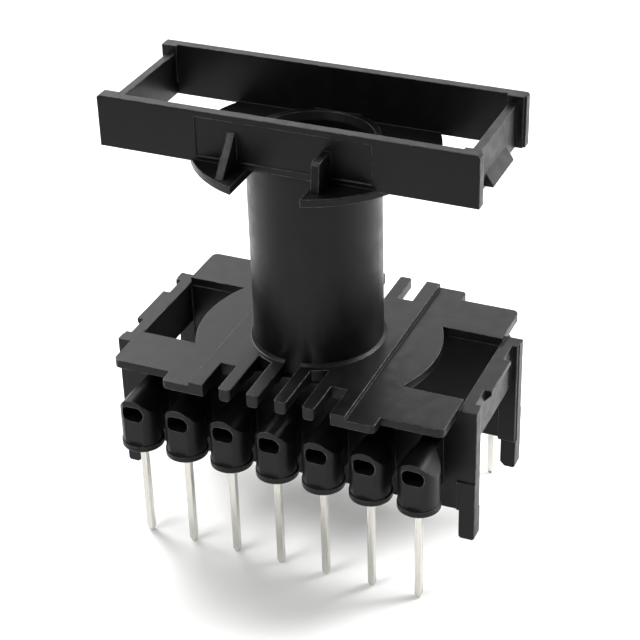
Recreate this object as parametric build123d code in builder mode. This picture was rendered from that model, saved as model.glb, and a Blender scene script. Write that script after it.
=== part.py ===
from build123d import *
import os

# Coil former of a vertical transformer for a core with a round centre post.
# Lengths are in millimetres. The origin lies on the tube's axis at the level of the pin tips,
# +Z runs up the tube, both rows of pins run along X and the front row is the one at -Y.

# Terminal pins
pin_pitch = 5.08
pins_per_row = 7
row_spacing = 22.86
pin_width = 0.7
pin_free_length = 11.65
pin_socket_depth = 2.6
pin_tip_length = 0.5
pin_tip_width = 0.4

# Tube around the core's centre post
bore_radius = 5.65
tube_wall = 1.05
tube_root_slant = 0.3

# Space for the winding between the two flanges
winding_height = 21.15

# Lower flange: four arms, and a deeper middle block at the front and back
flange_thickness = 0.9
arm_overlap = 0.05
arm_depth = 23.5
arm_corner = 0.7
block_length = 22.8
block_overhang = 2.02
block_corner = 0.5
strip_length = 16.8
strip_height = 0.45

# Comb of wire slots in the front and back of the lower flange
slot_pitch = 3.0
slot_width = 1.7
side_slot_gap = 0.8
short_slot_start = 9.05
finger_tip_corner = 0.3
finger_foot_corner = 0.4

# Windows that the core's outer legs pass through
leg_radius = 12.8
window_setback = 0.1
trough_length = 35.5

# Side walls of the core troughs
wall_outer_depth = 14.6

# Lower trough, its end walls and its corner posts with the feet
lower_wall_thickness = 1.45
lower_wall_height = 12.4
lower_lead_in = 0.25
lower_rim_drop = 0.5
lower_end_height = 4.8
lower_end_thickness = 1.2
post_overlap = 0.05
post_length = 1.95
post_layer_thickness = 1.1
post_pad_thickness = 0.5
post_pad_setback = 0.1
post_step_drop = 8.9
post_step = 0.15
foot_setback = 0.3
foot_height = 3.4
foot_chamfer = 0.2
foot_cut = 0.5

# Barbs for the spring clip on all four end walls
barb_width = 6.0
barb_reach = 0.75
barb_height = 1.35
upper_barb_edge = 0.15
lower_barb_edge = 0.5

# Bosses that hold the pins
boss_height = 9.6
boss_radius = 2.1
boss_front = 1.83
boss_neck_width = 2.0
boss_roof_radius = 1.7
boss_roof_thickness = 0.75
boss_shoulder_start = 1.47
boss_shoulder_drop = 0.85
boss_lip_radius = 2.2
boss_lip_height = 0.6
pocket_width = 2.3
pocket_height = 1.7
pocket_corner = 0.7
pocket_floor_height = 3.5
pocket_depth = 3.0

# Upper disc flange and the collar around the bore
disc_radius = 12.0
disc_thickness = 0.8
disc_slot_width = 7.1
floor_radius = 12.5
collar_height = 0.55
collar_chamfer_width = 0.4
collar_chamfer_height = 0.8

# Upper trough
upper_wall_drop = 0.18
upper_wall_height = 5.34
upper_wall_overhang = 1.65
upper_wall_foot = 1.1
upper_wall_rim = 0.95
upper_wall_corner = 0.2
upper_pad_thickness = 0.4
upper_pad_overlap = 0.2
upper_pad_setback = 0.2
upper_pad_rise = 1.15
upper_end_drop = 0.05
upper_end_height = 4.4
upper_end_thickness = 0.8
panel_length = 18.0
panel_margin = 0.65
panel_depth = 0.12

# Two ribs that brace each upper side wall on the disc, one slanted and one square
rib_thickness = 0.8
slant_rib_place = -5.15
slant_rib_reach = 3.1
slant_rib_height = 3.5
square_rib_place = 4.5
square_rib_reach = 2.9
square_rib_height = 3.1
square_rib_head = 2.6
square_rib_corner = 0.3

# Levels along Z that follow from the sizes above, from the feet upwards
boss_bottom = pin_free_length
flange_top = boss_bottom + boss_height
flange_bottom = flange_top - flange_thickness
strip_top = flange_top + strip_height
pocket_floor = boss_bottom + pocket_floor_height
boss_crown = pocket_floor + pocket_height + boss_roof_thickness
boss_shoulder = boss_crown - boss_roof_radius
lower_rim = flange_top - lower_rim_drop
lower_wall_bottom = flange_top - lower_wall_height
post_step_level = flange_top - post_step_drop
foot_bottom = lower_wall_bottom - foot_height
disc_bottom = flange_top + winding_height
disc_top = disc_bottom + disc_thickness
collar_top = disc_top + collar_height
upper_wall_bottom = disc_top - upper_wall_drop
upper_wall_top = upper_wall_bottom + upper_wall_height
upper_end_bottom = disc_top - upper_end_drop

# Distances from the middle along X
trough_end = trough_length / 2
arm_end = trough_end + arm_overlap
lower_end_outer = trough_end + lower_end_thickness
post_start = trough_end - post_overlap
post_end = post_start + post_length
post_pad_end = post_end - post_pad_setback
foot_start = post_start + foot_setback
upper_end_outer = trough_end + upper_end_thickness
upper_wall_end = trough_end + upper_wall_overhang
upper_pad_start = trough_end - upper_pad_overlap
upper_pad_end = upper_wall_end - upper_pad_setback
comb_reach = 2 * slot_pitch
finger_width = slot_pitch - slot_width

# Distances from the middle along Y, and the tube's outer radius
tube_radius = bore_radius + tube_wall
row_place = row_spacing / 2
block_front = row_place + block_overhang
wall_outer = wall_outer_depth / 2
foot_outer = wall_outer + post_step
lower_wall_inner = wall_outer - lower_wall_thickness
lower_wall_middle = wall_outer - lower_wall_thickness / 2
window_side = lower_wall_inner + window_setback
post_layer_inner = wall_outer - post_layer_thickness
post_pad_inner = post_layer_inner - post_pad_thickness
upper_wall_inner = wall_outer - upper_wall_foot
upper_wall_middle = wall_outer - upper_wall_rim / 2
upper_rim_inner = wall_outer - upper_wall_rim
upper_pad_inner = upper_rim_inner - upper_pad_thickness

# The front and back faces of the former, each seen from outside
front = Plane.XZ
back = Plane.XZ.rotated((0, 0, 180))

os.makedirs("parts", exist_ok=True)

# One pin boss, with its pin's axis at X = Y = 0 and the trough wall behind it at +Y: a round
# column, flattened in front, under an arched roof that runs back to the wall on a narrower neck
with BuildPart() as pin_boss:
    with BuildSketch(Plane.XY.offset(boss_bottom)):
        Circle(boss_radius)
        with Locations((0, -boss_front)):
            Rectangle(
                2 * boss_radius,
                boss_radius,
                align=(Align.CENTER, Align.MAX),
                mode=Mode.SUBTRACT,
            )
        Rectangle(
            boss_neck_width,
            row_place - lower_wall_middle,
            align=(Align.CENTER, Align.MIN),
        )
    extrude(amount=boss_crown - boss_bottom)
    with BuildSketch(Plane.XZ):
        with Locations((0, boss_shoulder)):
            Circle(boss_roof_radius)
            Rectangle(2 * boss_radius, boss_height, align=(Align.CENTER, Align.MAX))
        with BuildLine():
            Polyline(
                (-boss_radius, boss_shoulder),
                (-boss_shoulder_start, boss_crown - boss_shoulder_drop),
                (boss_shoulder_start, boss_crown - boss_shoulder_drop),
                (boss_radius, boss_shoulder),
                close=True,
            )
        make_face()
    extrude(amount=row_place, both=True, mode=Mode.INTERSECT)

    # Round lip at the foot of the column
    with BuildSketch(Plane.XY.offset(boss_bottom)):
        Circle(boss_lip_radius)
    extrude(amount=boss_lip_height)

    # Pocket above the pin's end, well rounded at all four corners
    with BuildSketch(Plane.XZ.offset(boss_front)):
        with Locations((0, pocket_floor + pocket_height / 2)):
            RectangleRounded(pocket_width, pocket_height, pocket_corner)
    extrude(amount=-pocket_depth, mode=Mode.SUBTRACT)

    # Square socket for the pin
    with BuildSketch(Plane.XY.offset(boss_bottom)):
        Rectangle(pin_width, pin_width)
    extrude(amount=pin_socket_depth, mode=Mode.SUBTRACT)

# The two ribs on one upper side wall, standing on the disc: a slanted one at -X and a square one
# with a cut corner at +X
with BuildPart() as rib_pair:
    with BuildSketch(Plane.YZ.offset(slant_rib_place)):
        with BuildLine():
            Polyline(
                (-upper_wall_middle, disc_top),
                (-wall_outer - slant_rib_reach, disc_top),
                (-wall_outer, disc_top + slant_rib_height),
                (-upper_wall_middle, disc_top + slant_rib_height),
                close=True,
            )
        make_face()
    extrude(amount=rib_thickness / 2, both=True)
    with BuildSketch(Plane.YZ.offset(square_rib_place)):
        with BuildLine():
            Polyline(
                (-upper_wall_middle, disc_top),
                (-wall_outer - square_rib_reach, disc_top),
                (-wall_outer - square_rib_head, disc_top + square_rib_height - square_rib_corner),
                (-wall_outer - square_rib_head + square_rib_corner, disc_top + square_rib_height),
                (-upper_wall_middle, disc_top + square_rib_height),
                close=True,
            )
        make_face()
    extrude(amount=rib_thickness / 2, both=True)

with BuildPart() as coil_former:
    # Lower flange plate
    with BuildSketch(Plane.XY.offset(flange_bottom)):
        RectangleRounded(2 * arm_end, arm_depth, arm_corner)
        RectangleRounded(block_length, 2 * block_front, block_corner)
    extrude(amount=flange_thickness)

    # Raised strip across the middle of the flange
    with BuildSketch(Plane.XY.offset(flange_top)):
        Rectangle(strip_length, 2 * block_front)
    extrude(amount=strip_height)

    # Upper disc flange, with a floor between the trough walls that reaches out further
    with BuildSketch(Plane.XY.offset(disc_bottom)):
        Circle(floor_radius)
        Rectangle(2 * floor_radius, 2 * upper_wall_inner, mode=Mode.INTERSECT)
        Circle(disc_radius)
        Rectangle(disc_slot_width, 2 * disc_radius, mode=Mode.SUBTRACT)
    extrude(amount=disc_thickness)

    # Tube, from the underside of the lower flange to the collar on the upper floor
    with BuildSketch(Plane.XY.offset(flange_bottom)):
        Circle(tube_radius)
    extrude(amount=collar_top - flange_bottom)
    root_edges = coil_former.edges().filter_by(GeomType.CIRCLE)
    root_edges = root_edges.filter_by_position(Axis.Z, strip_top, strip_top)
    chamfer(root_edges, length=tube_root_slant)

    # Three long wire slots, of which the middle one ends at the tube and the others a little
    # clear of its root, and a short one to each side of them
    with BuildSketch(Plane.XY.offset(flange_bottom)):
        with GridLocations(2 * slot_pitch, 0, 2, 1):
            Rectangle(slot_width, 2 * block_front)
        Circle(tube_radius + side_slot_gap, mode=Mode.SUBTRACT)
        Rectangle(slot_width, 2 * block_front)
        Circle(tube_radius, mode=Mode.SUBTRACT)
        with GridLocations(4 * slot_pitch, block_front + short_slot_start, 2, 2):
            Rectangle(slot_width, block_front - short_slot_start)
    extrude(amount=flange_thickness + strip_height + tube_root_slant, mode=Mode.SUBTRACT)

    # Finger tips between the slots: upright corners rounded, then both lower edges rounded back
    # to where the short slots end
    tip_edges = coil_former.edges().filter_by(Axis.Z)
    tip_edges = tip_edges.filter_by_position(Axis.X, -comb_reach, comb_reach)
    front_tips = tip_edges.filter_by_position(Axis.Y, -block_front, -block_front)
    back_tips = tip_edges.filter_by_position(Axis.Y, block_front, block_front)
    fillet(front_tips + back_tips, radius=finger_tip_corner)
    with BuildSketch(front.offset(block_front), back.offset(block_front)):
        with Locations((0, flange_bottom)):
            with GridLocations(slot_pitch, 0, 4, 1):
                Rectangle(finger_width, finger_foot_corner, align=(Align.CENTER, Align.MIN))
                RectangleRounded(
                    finger_width,
                    strip_top - flange_bottom,
                    finger_foot_corner,
                    align=(Align.CENTER, Align.MIN),
                    mode=Mode.SUBTRACT,
                )
    extrude(amount=short_slot_start - block_front, mode=Mode.SUBTRACT)

    # Windows for the outer legs in the lower flange
    with BuildSketch(Plane.XY.offset(flange_bottom)):
        Rectangle(2 * arm_end, 2 * window_side)
        Circle(leg_radius, mode=Mode.SUBTRACT)
    extrude(amount=flange_thickness, mode=Mode.SUBTRACT)

    # Side walls of the lower trough, chamfered inside along the bottom to let the core in
    with BuildSketch(Plane.YZ):
        with BuildLine():
            Polyline(
                (lower_wall_inner, flange_bottom),
                (wall_outer, flange_bottom),
                (wall_outer, lower_wall_bottom),
                (lower_wall_inner + lower_lead_in, lower_wall_bottom),
                (lower_wall_inner, lower_wall_bottom + lower_lead_in),
                close=True,
            )
        make_face()
        mirror(about=Plane.YZ)
    extrude(amount=arm_end, both=True)

    # Feet at the four corners, with chamfered ends; the front left and back right ones have their
    # inner corner cut off further
    with BuildSketch(Plane.XY.offset(foot_bottom)):
        with GridLocations(foot_start + post_end, lower_wall_inner + foot_outer, 2, 2):
            Rectangle(post_end - foot_start, foot_outer - lower_wall_inner)
    extrude(amount=foot_height)
    foot_edges = coil_former.edges().filter_by(Axis.Y)
    foot_edges = foot_edges.filter_by_position(Axis.Z, foot_bottom, foot_bottom)
    chamfer(foot_edges, length=foot_chamfer)
    with BuildSketch(front.offset(foot_outer), back.offset(foot_outer)):
        with BuildLine():
            Polyline(
                (-foot_start, foot_bottom),
                (-foot_start, foot_bottom + foot_cut),
                (-foot_start - foot_cut, foot_bottom),
                close=True,
            )
        make_face()
    extrude(amount=lower_wall_inner - foot_outer, mode=Mode.SUBTRACT)

    # Corner posts above the feet: an outer layer in line with the side wall, thicker below the
    # step, and a pad inside it that stops a little short of the post's end
    with BuildSketch(Plane.XY.offset(lower_wall_bottom)):
        with GridLocations(post_start + post_end, post_layer_inner + foot_outer, 2, 2):
            Rectangle(post_end - post_start, foot_outer - post_layer_inner)
    extrude(amount=post_step_level - lower_wall_bottom)
    with BuildSketch(Plane.XY.offset(lower_wall_bottom)):
        with GridLocations(post_start + post_end, post_layer_inner + wall_outer, 2, 2):
            Rectangle(post_end - post_start, post_layer_thickness)
        with GridLocations(post_start + post_pad_end, post_pad_inner + post_layer_inner, 2, 2):
            Rectangle(post_pad_end - post_start, post_pad_thickness)
    extrude(amount=lower_rim - lower_wall_bottom)

    # End walls of the lower trough
    with BuildSketch(Plane.XZ):
        with Locations((trough_end, lower_rim)):
            Rectangle(lower_end_thickness, lower_end_height, align=(Align.MIN, Align.MAX))
        mirror(about=Plane.YZ)
    extrude(amount=lower_wall_middle, both=True)

    # Side walls of the upper trough: upright outside, leaning out from the floor to the rim
    # inside, and with their upper corners cut
    with BuildSketch(Plane.YZ):
        with BuildLine():
            Polyline(
                (upper_wall_inner, upper_wall_bottom),
                (wall_outer, upper_wall_bottom),
                (wall_outer, upper_wall_top),
                (upper_rim_inner, upper_wall_top),
                (upper_wall_inner, disc_top),
                close=True,
            )
        make_face()
        mirror(about=Plane.YZ)
    extrude(amount=upper_wall_end, both=True)
    rim_ends = coil_former.edges().filter_by(Axis.Y)
    rim_ends = rim_ends.filter_by_position(Axis.Z, upper_wall_top, upper_wall_top)
    chamfer(rim_ends, length=upper_wall_corner)

    # Pads inside the ends of the upper side walls: over the whole height at the front left and
    # back right, and raised above the floor at the other two corners
    with BuildSketch(Plane.XY.offset(upper_wall_bottom)):
        with PolarLocations(0, 2):
            with Locations((-upper_pad_end, -upper_wall_middle)):
                Rectangle(
                    upper_pad_end - upper_pad_start,
                    upper_wall_middle - upper_pad_inner,
                    align=(Align.MIN, Align.MIN),
                )
    extrude(amount=upper_wall_height)
    with BuildSketch(Plane.XY.offset(disc_top + upper_pad_rise)):
        with PolarLocations(0, 2):
            with Locations((upper_pad_end, -upper_wall_middle)):
                Rectangle(
                    upper_pad_end - upper_pad_start,
                    upper_wall_middle - upper_pad_inner,
                    align=(Align.MAX, Align.MIN),
                )
    extrude(amount=upper_wall_top - disc_top - upper_pad_rise)

    # End walls of the upper trough
    with BuildSketch(Plane.XZ):
        with Locations((trough_end, upper_end_bottom)):
            Rectangle(upper_end_thickness, upper_end_height, align=(Align.MIN, Align.MIN))
        mirror(about=Plane.YZ)
    extrude(amount=upper_wall_middle, both=True)

    # Barbs for the spring clip: their flat sides face down on the upper end walls and up on the
    # lower ones
    with BuildSketch(Plane.XZ):
        with BuildLine():
            Polyline(
                (trough_end, upper_end_bottom),
                (upper_end_outer + barb_reach, upper_end_bottom),
                (upper_end_outer + barb_reach, upper_end_bottom + upper_barb_edge),
                (upper_end_outer, upper_end_bottom + barb_height),
                (trough_end, upper_end_bottom + barb_height),
                close=True,
            )
        make_face()
        with BuildLine():
            Polyline(
                (trough_end, lower_rim),
                (lower_end_outer + barb_reach, lower_rim),
                (lower_end_outer + barb_reach, lower_rim - lower_barb_edge),
                (lower_end_outer, lower_rim - barb_height),
                (trough_end, lower_rim - barb_height),
                close=True,
            )
        make_face()
        mirror(about=Plane.YZ)
    extrude(amount=barb_width / 2, both=True)

    # Shallow panel in the outer face of both upper side walls
    with BuildSketch(front.offset(wall_outer), back.offset(wall_outer)):
        with Locations((0, upper_wall_bottom + upper_wall_height / 2)):
            Rectangle(panel_length, upper_wall_height - 2 * panel_margin)
    extrude(amount=-panel_depth, mode=Mode.SUBTRACT)

    # Two rows of pin bosses, and the ribs of both upper side walls
    with PolarLocations(0, 2):
        add(rib_pair.part)
        with Locations((0, -row_place)):
            with GridLocations(pin_pitch, 0, pins_per_row, 1):
                add(pin_boss.part)

    # Bore for the centre post, widened at the collar
    with BuildSketch(Plane.XZ):
        with BuildLine():
            Polyline(
                (0, flange_bottom),
                (bore_radius, flange_bottom),
                (bore_radius, collar_top - collar_chamfer_height),
                (bore_radius + collar_chamfer_width, collar_top),
                (0, collar_top),
                close=True,
            )
        make_face()
    revolve(axis=Axis.Z, mode=Mode.SUBTRACT)
coil_former.part.label = "coil_former"
export_step(coil_former.part, "parts/coil_former.step")

# Square pins with tapered tips: the front row is numbered from -X to +X, the back row from +X
# to -X
for number in range(1, 2 * pins_per_row + 1):
    in_front = number <= pins_per_row
    column = number - 1 if in_front else 2 * pins_per_row - number
    pin_x = (column - (pins_per_row - 1) / 2) * pin_pitch
    pin_y = -row_place if in_front else row_place
    with BuildPart() as pin:
        with BuildSketch(Plane((pin_x, pin_y, 0))):
            Rectangle(pin_tip_width, pin_tip_width)
        with BuildSketch(Plane((pin_x, pin_y, pin_tip_length))):
            Rectangle(pin_width, pin_width)
        loft()
        with BuildSketch(Plane((pin_x, pin_y, pin_tip_length))):
            Rectangle(pin_width, pin_width)
        extrude(amount=pin_free_length + pin_socket_depth - pin_tip_length)
    pin.part.label = f"pin_{number:02d}"
    export_step(pin.part, f"parts/pin_{number:02d}.step")
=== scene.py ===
# A transformer coil former: one black moulding and fourteen tinned terminal pins.
# Sizes are in metres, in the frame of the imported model, which stands on its pins at z = 0.

import math

import bpy
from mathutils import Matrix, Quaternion, Vector


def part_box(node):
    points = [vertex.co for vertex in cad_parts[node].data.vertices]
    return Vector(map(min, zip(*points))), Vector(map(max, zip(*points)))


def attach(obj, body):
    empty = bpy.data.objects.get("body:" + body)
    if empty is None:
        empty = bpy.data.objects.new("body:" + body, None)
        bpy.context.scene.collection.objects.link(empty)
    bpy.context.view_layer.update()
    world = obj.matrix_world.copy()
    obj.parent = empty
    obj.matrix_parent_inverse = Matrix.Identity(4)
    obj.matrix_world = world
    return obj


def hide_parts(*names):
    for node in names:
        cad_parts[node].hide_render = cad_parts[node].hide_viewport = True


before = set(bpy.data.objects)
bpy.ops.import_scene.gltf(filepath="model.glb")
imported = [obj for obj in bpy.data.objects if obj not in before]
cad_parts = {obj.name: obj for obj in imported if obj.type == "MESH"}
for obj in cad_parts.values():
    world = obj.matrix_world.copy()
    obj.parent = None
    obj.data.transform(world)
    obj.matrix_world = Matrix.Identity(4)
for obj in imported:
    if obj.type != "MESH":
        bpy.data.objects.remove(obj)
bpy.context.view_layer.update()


# The moulding
# The coil former is one shot of black glass-filled polyester: tube, flange, disc, pin
# bosses and both core troughs. Its shape is the frame's own solid, and this section
# gives that solid its skin.

MM = 0.001
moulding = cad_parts["coil_former"]


def linear(hex_colour):
    """An sRGB hex colour as the linear colour that a shader takes."""
    parts = [int(hex_colour[i:i + 2], 16) / 255 for i in (1, 3, 5)]
    parts = [p / 12.92 if p <= 0.04045 else ((p + 0.055) / 1.055) ** 2.4 for p in parts]
    return (*parts, 1.0)


def new_finish(name):
    """An empty material and its node tree."""
    finish = bpy.data.materials.new(name)
    finish.use_nodes = True
    finish.node_tree.nodes.clear()
    return finish, finish.node_tree


def add_node(tree, kind, settings=(), links=()):
    """Adds a node with its properties and socket values, and links its inputs."""
    node = tree.nodes.new(kind)
    for name, value in dict(settings).items():
        if name in node.inputs.keys():
            node.inputs[name].default_value = value
        else:
            setattr(node, name, value)
    for name, source in dict(links).items():
        tree.links.new(source, node.inputs[name])
    return node


# A colour mix has its factor, its two colours and its result at these sockets.
mix_factor, first_colour, second_colour, mixed_colour = 0, 6, 7, 2

# Glass-filled polyester from a spark-eroded mould: a deep black with a slight cool cast
# and a soft satin sheen. Short fibres near the skin mottle the sheen in faint patches of
# about 1.4 mm, and the eroded grain keeps any highlight from being a mirror's. The real
# grain is nearer 0.05 mm, and is drawn at 0.14 mm so that it shows. Each sharp corner is
# rounded by 0.18 mm, as a mould leaves it. Outer corners also get a thin bright line
# painted into the colour, a greyer skin in stretches of about 0.9 mm: a painted highlight
# that is partly rubbing, where the part has slid in trays and feeders. A corner shows where
# the rounded normal leaves the true one, and an outer corner is one with nothing within
# 0.5 mm in front of it. The IOR is the resin's own, and the eroded skin reflects less.
plastic, tree = new_finish("black glass-filled polyester")
place = add_node(tree, "ShaderNodeTexCoord")
fibre_patches = add_node(
    tree, "ShaderNodeTexNoise",
    {"Scale": 1 / (1.4 * MM), "Detail": 3.0, "Roughness": 0.55},
    {"Vector": place.outputs["Object"]})
grain = add_node(
    tree, "ShaderNodeTexNoise",
    {"Scale": 1 / (0.14 * MM), "Detail": 2.0, "Roughness": 0.6},
    {"Vector": place.outputs["Object"]})
patch_colour = add_node(
    tree, "ShaderNodeMix",
    {"data_type": "RGBA"},
    {mix_factor: fibre_patches.outputs["Fac"]})
patch_colour.inputs[first_colour].default_value = linear("#0a0a0b")
patch_colour.inputs[second_colour].default_value = linear("#131314")
patch_sheen = add_node(
    tree, "ShaderNodeMapRange",
    {"From Min": 0.3, "From Max": 0.7, "To Min": 0.31, "To Max": 0.45},
    {"Value": fibre_patches.outputs["Fac"]})
round_corners = add_node(tree, "ShaderNodeBevel", {"samples": 8, "Radius": 0.18 * MM})
true_surface = add_node(tree, "ShaderNodeNewGeometry")
flatness = add_node(
    tree, "ShaderNodeVectorMath",
    {"operation": "DOT_PRODUCT"},
    {0: round_corners.outputs["Normal"], 1: true_surface.outputs["Normal"]})
corner = add_node(
    tree, "ShaderNodeMapRange",
    {"From Min": 0.97, "From Max": 0.80, "To Min": 0.0, "To Max": 1.0},
    {"Value": flatness.outputs["Value"]})
# Painted edge highlight, partly rubbed wear: a grey is mixed into the colour along outer corners,
# and this noise breaks it into stretches of about 0.9 mm.
rub_and_highlight_noise = add_node(
    tree, "ShaderNodeTexNoise",
    {"Scale": 1 / (0.9 * MM), "Detail": 4.0, "Roughness": 0.7},
    {"Vector": place.outputs["Object"]})
rubbed_and_highlit_stretches = add_node(
    tree, "ShaderNodeMapRange",
    {"From Min": 0.42, "From Max": 0.62, "To Min": 0.2, "To Max": 1.0},
    {"Value": rub_and_highlight_noise.outputs["Fac"]})
openness = add_node(tree, "ShaderNodeAmbientOcclusion", {"samples": 6, "Distance": 0.5 * MM})
outer = add_node(
    tree, "ShaderNodeMapRange",
    {"From Min": 0.80, "From Max": 0.98},
    {"Value": openness.outputs["AO"]})
outer_corner = add_node(
    tree, "ShaderNodeMath",
    {"operation": "MULTIPLY"},
    {0: corner.outputs["Result"], 1: outer.outputs["Result"]})
rub_and_painted_highlight_mask = add_node(
    tree, "ShaderNodeMath",
    {"operation": "MULTIPLY"},
    {0: outer_corner.outputs["Value"], 1: rubbed_and_highlit_stretches.outputs["Result"]})
skin_colour = add_node(
    tree, "ShaderNodeMix",
    {"data_type": "RGBA"},
    {mix_factor: rub_and_painted_highlight_mask.outputs["Value"],
     first_colour: patch_colour.outputs[mixed_colour]})
# This grey is the painted highlight on outer corners, which is also partly rubbed wear.
skin_colour.inputs[second_colour].default_value = linear("#6e6e70")
grain_relief = add_node(
    tree, "ShaderNodeBump",
    {"Strength": 0.35, "Distance": 0.022 * MM},
    {"Height": grain.outputs["Fac"], "Normal": round_corners.outputs["Normal"]})
patch_relief = add_node(
    tree, "ShaderNodeBump",
    {"Strength": 0.15, "Distance": 0.02 * MM},
    {"Height": fibre_patches.outputs["Fac"], "Normal": grain_relief.outputs["Normal"]})
skin = add_node(
    tree, "ShaderNodeBsdfPrincipled",
    {"IOR": 1.5, "Metallic": 0.0, "Specular IOR Level": 0.19},
    {"Base Color": skin_colour.outputs[mixed_colour],
     "Roughness": patch_sheen.outputs["Result"],
     "Normal": patch_relief.outputs["Normal"]})
add_node(tree, "ShaderNodeOutputMaterial", links={"Surface": skin.outputs["BSDF"]})
for slot in moulding.material_slots:
    slot.material = plastic


# The webs at the disc's slots
# The disc's two slots run in under the trough walls, and inside the walls a thin web of
# the same moulding closes their corners against the tube. One ring around the tube, cut
# off under both walls, makes all four webs, a hair below the floor that they belong to.

floor_top = 43.2 * MM
floor_thickness = 0.8 * MM
tube_radius = 6.7 * MM
wall_inside = 6.2 * MM
half_slot = 3.55 * MM
let_in = 0.2 * MM
below_floor = 0.03 * MM
slot_corner = math.hypot(half_slot, wall_inside)
ring_width = slot_corner - tube_radius + 2 * let_in
merge_distance = 0.001 * MM
smooth_below = math.radians(38)

bpy.ops.object.select_all(action="DESELECT")
bpy.ops.mesh.primitive_cylinder_add(
    vertices=128, radius=slot_corner + let_in, depth=floor_thickness - 2 * below_floor,
    location=(0, 0, floor_top - floor_thickness / 2))
web = bpy.context.active_object
web.name = "floor_web"
bpy.ops.object.transform_apply(location=True, rotation=False, scale=False)
bpy.ops.object.mode_set(mode="EDIT")
bpy.ops.mesh.select_mode(type="FACE")
bpy.ops.mesh.select_all(action="DESELECT")
bpy.ops.object.mode_set(mode="OBJECT")
for face in web.data.polygons:
    face.select = abs(face.normal.z) > 0.5
bpy.ops.object.mode_set(mode="EDIT")
bpy.ops.mesh.inset(thickness=ring_width)
bpy.ops.mesh.bridge_edge_loops()
for side in (-1, 1):
    bpy.ops.mesh.select_all(action="SELECT")
    bpy.ops.mesh.bisect(
        plane_co=(0, side * (wall_inside + let_in), 0), plane_no=(0, side, 0),
        threshold=merge_distance, use_fill=True, clear_outer=True)
bpy.ops.object.mode_set(mode="OBJECT")
bpy.ops.object.shade_smooth_by_angle(angle=smooth_below)
web.data.materials.append(plastic)
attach(web, "root")


# The terminal pins
# Each of the fourteen is a length of square bronze wire with a swaged tip, tinned all
# over and pushed into its boss after moulding. The drawing die leaves its long corners
# slightly round. One is softened here and copied to the other thirteen places.

pin_names = sorted(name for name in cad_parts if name.startswith("pin_"))

bpy.ops.object.select_all(action="DESELECT")
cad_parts[pin_names[0]].select_set(True)
bpy.context.view_layer.objects.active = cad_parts[pin_names[0]]
bpy.ops.object.duplicate(linked=False)
first_pin = bpy.context.active_object
first_pin.name = "terminal_pin_01"
first_pin.parent = None
for label in list(first_pin.keys()):
    del first_pin[label]
first_pin.data.materials.clear()
bpy.ops.object.mode_set(mode="EDIT")
bpy.ops.mesh.select_all(action="SELECT")
bpy.ops.mesh.remove_doubles(threshold=merge_distance)
bpy.ops.mesh.customdata_custom_splitnormals_clear()
bpy.ops.mesh.dissolve_limited(angle_limit=math.radians(1))
bpy.ops.object.mode_set(mode="OBJECT")

die_corner = first_pin.modifiers.new("die corner", "BEVEL")
die_corner.width = 0.07 * MM
die_corner.segments = 3
die_corner.limit_method = "ANGLE"
die_corner.angle_limit = math.radians(20)
bpy.ops.object.modifier_apply(modifier=die_corner.name)
bpy.ops.object.shade_smooth_by_angle(angle=smooth_below)
flat_sides = first_pin.modifiers.new("flat sides", "WEIGHTED_NORMAL")
flat_sides.mode = "FACE_AREA"
flat_sides.weight = 80
flat_sides.keep_sharp = True
bpy.ops.object.modifier_apply(modifier=flat_sides.name)

# Tin from a hot dip: a soft grey silver, slightly warm, that breaks up into long faint
# streaks along the wire, about 0.15 mm wide and 4 mm long, where the tin has run down.
tin, tree = new_finish("dip-tinned bronze wire")
place = add_node(tree, "ShaderNodeTexCoord")
along_wire = add_node(
    tree, "ShaderNodeMapping",
    {"Scale": (1 / (0.15 * MM), 1 / (0.15 * MM), 1 / (4.0 * MM))},
    {"Vector": place.outputs["Object"]})
streaks = add_node(
    tree, "ShaderNodeTexNoise",
    {"Scale": 1.0, "Detail": 3.0, "Roughness": 0.5},
    {"Vector": along_wire.outputs["Vector"]})
tin_colour = add_node(
    tree, "ShaderNodeMix",
    {"data_type": "RGBA"},
    {mix_factor: streaks.outputs["Fac"]})
tin_colour.inputs[first_colour].default_value = linear("#c6c4be")
tin_colour.inputs[second_colour].default_value = linear("#dad8d2")
tin_polish = add_node(
    tree, "ShaderNodeMapRange",
    {"From Min": 0.3, "From Max": 0.7, "To Min": 0.22, "To Max": 0.38},
    {"Value": streaks.outputs["Fac"]})
streak_relief = add_node(
    tree, "ShaderNodeBump",
    {"Strength": 0.25, "Distance": 0.01 * MM},
    {"Height": streaks.outputs["Fac"]})
plating = add_node(
    tree, "ShaderNodeBsdfPrincipled",
    {"Metallic": 1.0},
    {"Base Color": tin_colour.outputs[mixed_colour],
     "Roughness": tin_polish.outputs["Result"],
     "Normal": streak_relief.outputs["Normal"]})
add_node(tree, "ShaderNodeOutputMaterial", links={"Surface": plating.outputs["BSDF"]})
first_pin.data.materials.append(tin)

first_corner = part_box(pin_names[0])[0]
pins = [first_pin]
for name in pin_names[1:]:
    bpy.ops.object.select_all(action="DESELECT")
    first_pin.select_set(True)
    bpy.context.view_layer.objects.active = first_pin
    bpy.ops.object.duplicate(linked=False)
    pin = bpy.context.active_object
    pin.name = "terminal_" + name
    bpy.ops.transform.translate(value=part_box(name)[0] - first_corner)
    bpy.ops.object.transform_apply(location=True, rotation=False, scale=False)
    pins.append(pin)
for pin, name in zip(pins, pin_names):
    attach(pin, "root")
    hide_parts(name)


# The floor
# A sheet of white studio paper that the pins stand on, 4 m square, so that its edges lie
# outside the camera's view.

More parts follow.
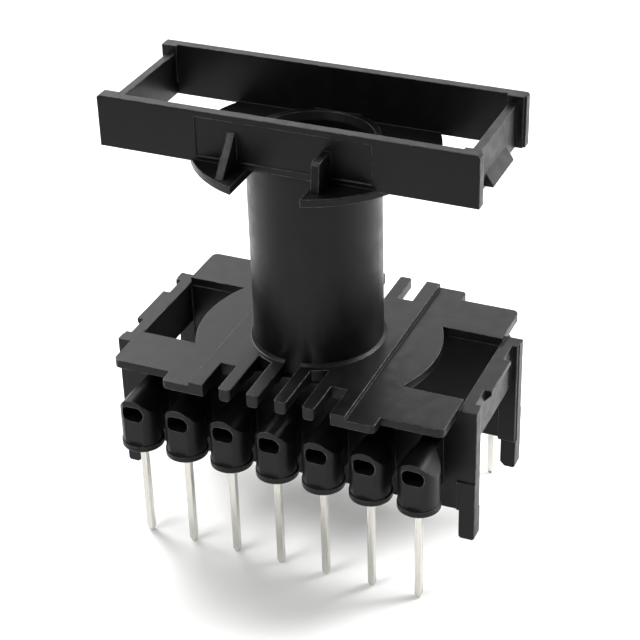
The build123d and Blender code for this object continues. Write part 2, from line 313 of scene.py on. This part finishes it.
bpy.ops.object.select_all(action="DESELECT")
paper_size = 4.0
bpy.ops.mesh.primitive_plane_add(size=paper_size, location=(0, 0, 0))
paper = bpy.context.active_object
paper.name = "studio_paper"
white, tree = new_finish("white studio paper")
sheet = add_node(
    tree, "ShaderNodeBsdfPrincipled",
    {"Base Color": linear("#f4f4f3"), "Roughness": 0.9, "Specular IOR Level": 0.2})
add_node(tree, "ShaderNodeOutputMaterial", links={"Surface": sheet.outputs["BSDF"]})
paper.data.materials.append(white)


# The light
# A dim pale room, with a high and a low soft box behind the part. Two lamps with honeycomb
# grids light the paper to its right and left, which the black sides mirror, and a third,
# high at the front left, draws the edges. The fronts mirror dimmer paper and stay darker.

room = bpy.data.worlds.new("pale room")
bpy.context.scene.world = room
room.use_nodes = True
sky = room.node_tree.nodes["Background"]
sky.inputs["Color"].default_value = linear("#ffffff")
sky.inputs["Strength"].default_value = 0.3


def soft_box(name, place, aim, size, watts, grid):
    """A soft box at a place, turned to a point. Its grid holds its light to an angle in degrees."""
    bpy.ops.object.light_add(type="AREA", location=place)
    lamp = bpy.context.active_object
    lamp.name = name
    lamp.data.shape = "RECTANGLE"
    lamp.data.size, lamp.data.size_y = size
    lamp.data.energy = watts
    lamp.data.spread = math.radians(grid)
    lamp.rotation_euler = (Vector(aim) - Vector(place)).to_track_quat("-Z", "Y").to_euler()


middle = (0, 0, 0.024)
no_grid = 180
soft_box("back soft box", (-0.20, 0.50, 0.33), middle, (0.50, 0.30), 1.10, no_grid)
soft_box("low back box", (0.34, 0.42, 0.09), middle, (0.36, 0.16), 0.65, no_grid)
soft_box("right lamp", (0.22, 0.20, 0.24), (0.05, 0.04, 0), (0.20, 0.20), 0.26, 50)
soft_box("left lamp", (-0.25, 0.14, 0.24), (-0.06, 0.01, 0), (0.20, 0.20), 0.19, 50)
soft_box("edge lamp", (-0.22, -0.32, 0.50), middle, (0.24, 0.24), 0.26, 70)


# The camera
# A long lens from the front right, above the part, at the photograph's angle. Its place,
# turn and focal length were fitted to the photograph's straight edges and pins.

target = Vector((0.118664, 0.0, 23.053518)) * MM
distance = 184.677193 * MM
turn, lift, roll = math.radians(24.070574), math.radians(31.437553), math.radians(-1.772819)
focal_length_in_pixels = 1799.173
picture_width_in_pixels = 640

to_camera = Vector((
    math.sin(turn) * math.cos(lift), -math.cos(turn) * math.cos(lift), math.sin(lift)))
bpy.ops.object.camera_add(location=target + to_camera * distance)
camera = bpy.context.active_object
camera.name = "camera"
level_aim = (-to_camera).to_track_quat("-Z", "Y")
camera.rotation_euler = (level_aim @ Quaternion((0, 0, 1), roll)).to_euler()
camera.data.sensor_width = 36
camera.data.lens = focal_length_in_pixels / picture_width_in_pixels * camera.data.sensor_width
camera.data.clip_start = 0.01
bpy.context.scene.camera = camera

# The picture is shown without a film curve, so that the black stays as deep as it is.
bpy.context.scene.view_settings.view_transform = "Standard"
